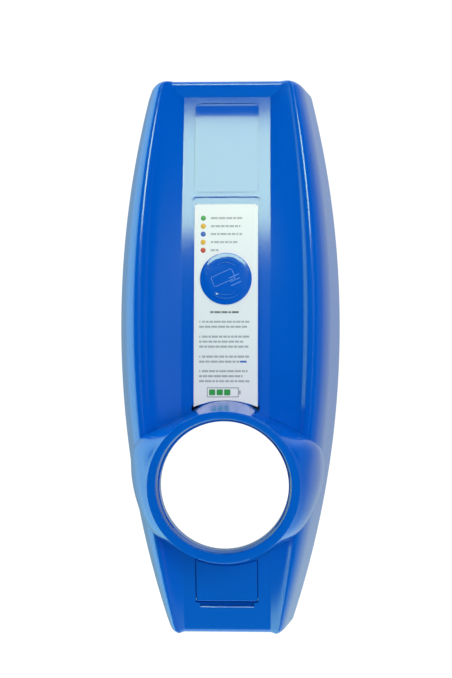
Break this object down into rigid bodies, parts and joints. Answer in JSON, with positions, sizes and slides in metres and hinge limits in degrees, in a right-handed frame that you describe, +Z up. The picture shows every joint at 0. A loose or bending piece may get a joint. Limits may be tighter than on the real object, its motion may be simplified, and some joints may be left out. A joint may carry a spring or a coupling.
{
  "type": "ev charging post head",
  "caption": "Bowed electric-vehicle charging head with a hinged moulded cover, open round socket bay, card reader, label and service hatch.",
  "frame": {"origin": "centre of the four wall fixing holes, on the wall face of the bracket", "axes": "-Y points out of the front, +X to the right seen from the front, +Z up"},
  "size_m": [0.248, 0.2049, 0.6],
  "materials": {
    "cover_blue": "satin moulded plastic",
    "window_blue": "smooth",
    "label_white": "printed film",
    "housing_grey": "fine texture",
    "device_grey": "satin",
    "dark_plastic": "satin",
    "rubber": "matte",
    "zinc_steel": "zinc plated",
    "brass": "turned",
    "circuit_board": "solder mask",
    "diffuser": "milky",
    "lever_blue": "gloss",
    "button_yellow": "gloss"
  },
  "bodies": {
    "housing": {"wall_bracket": "zinc_steel", "back_housing": "housing_grey", "housing_surround": "housing_grey", "bay_tunnel": "housing_grey", "housing_seal": "rubber", "bracket_screws": "zinc_steel", "hinge_rod": "zinc_steel", "din_rail": "zinc_steel", "rail_screws": "zinc_steel", "contactor": "device_grey", "breaker_body": "device_grey", "energy_meter": "device_grey", "terminal_block": "device_grey", "power_supply": "zinc_steel", "controller_board": "circuit_board", "board_standoffs": "brass", "board_screws": "zinc_steel", "modem_antenna": "dark_plastic", "earth_stud": "brass", "cable_grommet": "rubber", "cord_clamp": "dark_plastic", "clamp_screws": "zinc_steel", "wiring_duct": "housing_grey", "duct_lid": "housing_grey", "lock_keeper": "zinc_steel"},
    "cover": {"front_cover": "cover_blue", "socket_collar": "cover_blue", "window_panel": "window_blue", "instruction_label": "label_white", "card_reader_disc": "cover_blue", "card_reader_board": "circuit_board", "reader_screws": "zinc_steel", "light_ring": "diffuser", "led_board": "circuit_board", "hatch_pin": "zinc_steel", "lock_barrel": "zinc_steel"},
    "hatch": {"service_hatch": "cover_blue"},
    "lock": {"lock_plug": "brass"},
    "lever": {"breaker_lever": "lever_blue"},
    "test_button": {"breaker_test_button": "button_yellow"}
  },
  "joints": [
    {"name": "cover_swing", "type": "hinge", "parent": "housing", "child": "cover", "pos_m": [0, -0.03, 0.286], "axis": [-1, 0, 0], "range_deg": [0, 65]},
    {"name": "hatch_swing", "type": "hinge", "parent": "cover", "child": "hatch", "pos_m": [0, -0.09709, -0.2608], "axis": [1, 0, 0], "range_deg": [0, 85]},
    {"name": "lock_turn", "type": "hinge", "parent": "cover", "child": "lock", "pos_m": [0, -0.07, -0.246], "axis": [0, -1, 0], "range_deg": [0, 90]},
    {"name": "lever_throw", "type": "hinge", "parent": "housing", "child": "lever", "pos_m": [0, -0.0615, 0.115], "axis": [1, 0, 0], "range_deg": [0, 70]},
    {"name": "test_press", "type": "slide", "parent": "housing", "child": "test_button", "axis": [0, 1, 0], "range_m": [0, 0.0015], "stiffness_N_per_m": 600}
  ]
}
